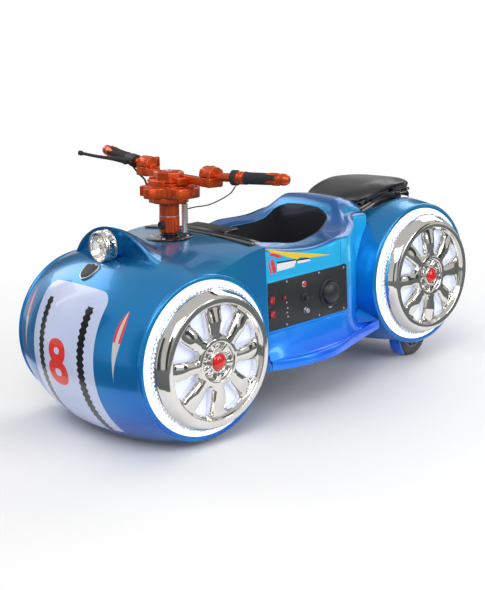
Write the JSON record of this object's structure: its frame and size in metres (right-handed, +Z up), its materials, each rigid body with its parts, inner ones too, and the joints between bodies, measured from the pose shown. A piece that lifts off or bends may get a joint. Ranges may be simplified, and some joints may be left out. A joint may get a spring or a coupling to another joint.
{
  "type": "bumper car shaped like a fairground ride-on motorcycle",
  "caption": "Battery fairground bumper car shaped as a motorcycle: blue shell, chrome wheel covers with light rings, open cockpit, seat and steered handlebar over a hidden drive wheel.",
  "frame": {"origin": "centre of the bounding box on the floor, on the level that the small wheels roll on", "axes": "X across the machine with the rider's left hand at +X, Y along it with the front at -Y, Z up"},
  "size_m": [0.8749, 1.703, 0.8779],
  "materials": {
    "blue_body": "metallic blue gelcoat on glass-fibre, clear and glossy",
    "chrome_trim": "bright chrome plating on moulded plastic and pressed steel",
    "light_ring": "frosted diffuser, lit white from inside",
    "lamp_glass": "clear, gloss",
    "silver_metal": "satin",
    "black_gloss": "gloss black moulding",
    "black_matt": "matt black, lightly textured",
    "black_rubber": "soft, matt",
    "seat_cover": "black weave-patterned vinyl cover over foam",
    "panel_black": "fine-textured black panel",
    "frame_paint": "black painted steel, satin",
    "orange_anodised": "machined and anodised orange, gloss",
    "tyre": "grey-black solid tread, matt"
  },
  "bodies": {
    "body": {"front_fairing": "blue_body", "headlight_cowl": "blue_body", "headlight_housing": "chrome_trim", "headlight_lens": "lamp_glass", "nose_badge": "silver_metal", "mid_body": "blue_body", "cockpit_tub": "black_gloss", "hood_trim": "black_matt", "column_base_plate": "black_gloss", "rear_fairing": "blue_body", "seat_cushion": "seat_cover", "seat_pan": "black_gloss", "chassis_frame": "frame_paint", "battery_box": "black_matt", "control_panel_left": "panel_black", "control_panel_right": "panel_black", "footboard_left": "blue_body", "footboard_right": "blue_body", "rear_wheel_bracket_left": "blue_body", "rear_wheel_bracket_right": "blue_body", "front_left_light_plate": "light_ring", "front_left_wheel_cover": "chrome_trim", "front_right_light_plate": "light_ring", "front_right_wheel_cover": "chrome_trim", "rear_left_light_plate": "light_ring", "rear_left_wheel_cover": "chrome_trim", "rear_right_light_plate": "light_ring", "rear_right_wheel_cover": "chrome_trim"},
    "steering": {"steering_column": "orange_anodised", "steering_plate": "orange_anodised", "steering_hub": "orange_anodised", "cable_conduit": "silver_metal", "brake_cable": "black_rubber", "throttle_wire": "silver_metal", "drive_fork": "frame_paint", "drive_motor": "frame_paint", "handlebar_clamp_left": "orange_anodised", "handlebar_clamp_right": "orange_anodised", "handlebar_left": "orange_anodised", "handlebar_right": "orange_anodised", "grip_left": "black_rubber", "grip_right": "black_rubber", "throttle_flange": "black_gloss", "brake_lever": "black_gloss"},
    "drive_wheel": {"drive_wheel": "tyre"},
    "rear_left_wheel": {"rear_wheel_left": "tyre"},
    "rear_right_wheel": {"rear_wheel_right": "tyre"}
  },
  "joints": [
    {"name": "steering_turn", "type": "hinge", "parent": "body", "child": "steering", "pos_m": [0, -0.3815, 0.7], "axis": [0, 0.061, 0.9981], "range_deg": [-45, 35]},
    {"name": "drive_wheel_spin", "type": "hinge", "parent": "steering", "child": "drive_wheel", "pos_m": [0, -0.4176, 0.11], "axis": [0.9962, 0.087, -0.0053], "continuous": true},
    {"name": "rear_left_wheel_spin", "type": "hinge", "parent": "body", "child": "rear_left_wheel", "pos_m": [0.197, 0.5985, 0.08], "axis": [1, 0, 0], "continuous": true},
    {"name": "rear_right_wheel_spin", "type": "hinge", "parent": "body", "child": "rear_right_wheel", "pos_m": [-0.197, 0.5985, 0.08], "axis": [1, 0, 0], "continuous": true}
  ]
}
